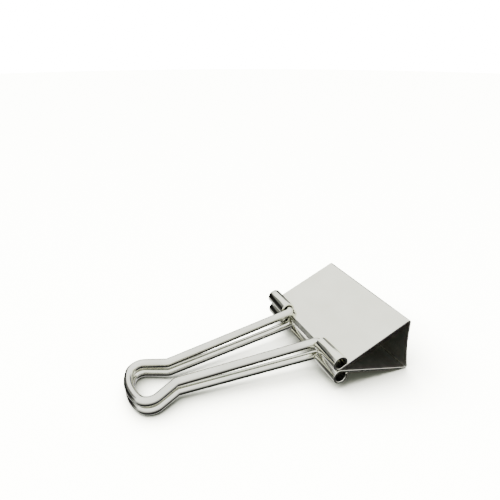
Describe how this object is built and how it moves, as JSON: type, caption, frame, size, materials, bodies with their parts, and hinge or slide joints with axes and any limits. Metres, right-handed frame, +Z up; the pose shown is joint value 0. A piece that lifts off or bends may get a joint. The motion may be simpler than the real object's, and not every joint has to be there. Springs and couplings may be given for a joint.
{
  "type": "binder clip",
  "caption": "Small nickel-plated binder clip: a sprung triangular body with rolled hems, and wire lever handles that swing from in front of the jaws back onto the leaves.",
  "frame": {"origin": "middle of the bounding box's bottom face: on the ground, under the middle of the clip as it lies on one spine corner and one loop", "axes": "+X from the handle loops to the spine, +Y along the hem, +Z up"},
  "size_m": [0.0374, 0.019, 0.0081],
  "materials": {
    "nickel_plated_sheet": "bright nickel plating on spring steel sheet, mirror polished",
    "nickel_plated_wire": "bright nickel plating on drawn steel wire"
  },
  "bodies": {
    "lower_jaw": {"lower_jaw": "nickel_plated_sheet"},
    "upper_jaw": {"upper_jaw": "nickel_plated_sheet"},
    "lower_handle": {"lower_handle": "nickel_plated_wire"},
    "upper_handle": {"upper_handle": "nickel_plated_wire"}
  },
  "joints": [
    {"name": "jaw_opening", "type": "hinge", "parent": "lower_jaw", "child": "upper_jaw", "pos_m": [0.01818, 0, 0.00409], "axis": [0, 1, 0], "range_deg": [0, 43], "stiffness_Nm_per_rad": 0.12, "springref_deg": -22.92},
    {"name": "upper_handle_swing", "type": "hinge", "parent": "upper_jaw", "child": "upper_handle", "pos_m": [0.00727, 0, 0.00429], "axis": [0, 1, 0], "range_deg": [0, 160.5]},
    {"name": "lower_handle_swing", "type": "hinge", "parent": "lower_jaw", "child": "lower_handle", "pos_m": [0.00744, 0, 0.00219], "axis": [0, -1, 0], "range_deg": [0, 160.5]}
  ]
}
